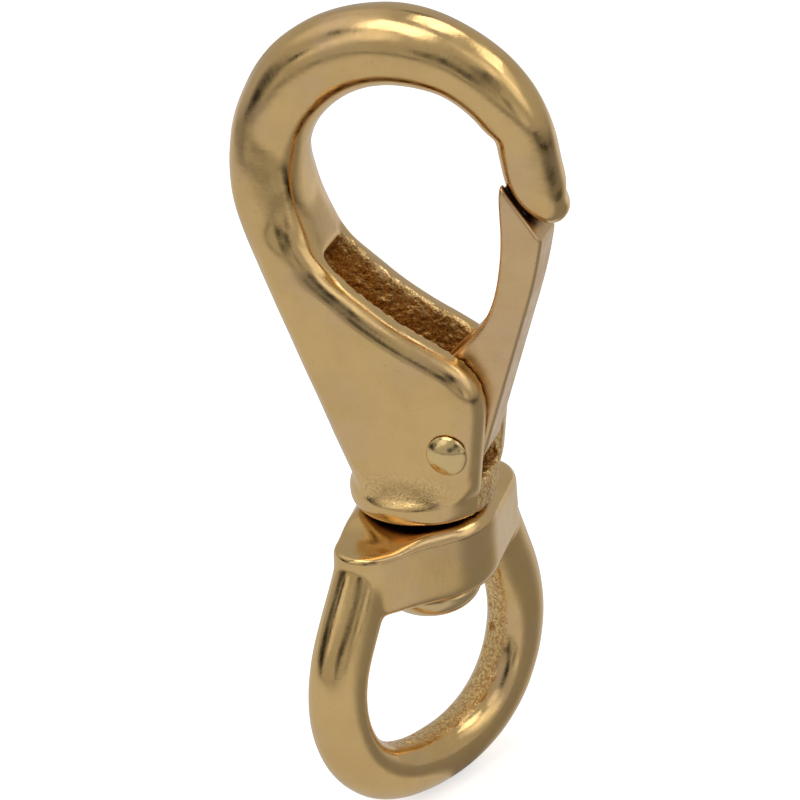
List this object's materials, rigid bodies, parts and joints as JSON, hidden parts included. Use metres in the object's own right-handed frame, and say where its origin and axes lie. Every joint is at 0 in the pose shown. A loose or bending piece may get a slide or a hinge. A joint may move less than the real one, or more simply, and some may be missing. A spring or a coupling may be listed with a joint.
{
  "type": "swivel snap hook",
  "caption": "Cast brass boat snap hook with a round bowl, a sprung gate on a rivet and a swivel eye that turns on a headed stud.",
  "frame": {"origin": "on the swivel axis, at the height of the bowl's centre, in the middle of the thickness", "axes": "+Z along the swivel axis from the eye to the hook, +X towards the gate, Y through the thickness"},
  "size_m": [0.0446, 0.0417, 0.1105],
  "materials": {
    "cast_brass": "tumbled and hand-polished casting, rough inside the pocket",
    "gate_brass": "satin casting",
    "rivet_brass": "polished",
    "stud_brass": "turned and polished",
    "spring_steel": "drawn stainless wire"
  },
  "bodies": {
    "hook": {"hook_body": "cast_brass", "gate_pivot_rivet": "rivet_brass", "gate_spring": "spring_steel", "swivel_stud": "stud_brass"},
    "gate": {"gate": "gate_brass"},
    "eye": {"swivel_eye": "cast_brass"}
  },
  "joints": [
    {"name": "gate_pivot", "type": "hinge", "parent": "hook", "child": "gate", "pos_m": [0.0063, 0, -0.03455], "axis": [0, -1, 0], "range_deg": [0, 38], "stiffness_Nm_per_rad": 0.06, "springref_deg": -57.3, "deforming": ["gate_spring"]},
    {"name": "eye_swivel", "type": "hinge", "parent": "hook", "child": "eye", "pos_m": [0, 0, -0.05035], "axis": [0, 0, 1], "continuous": true}
  ]
}
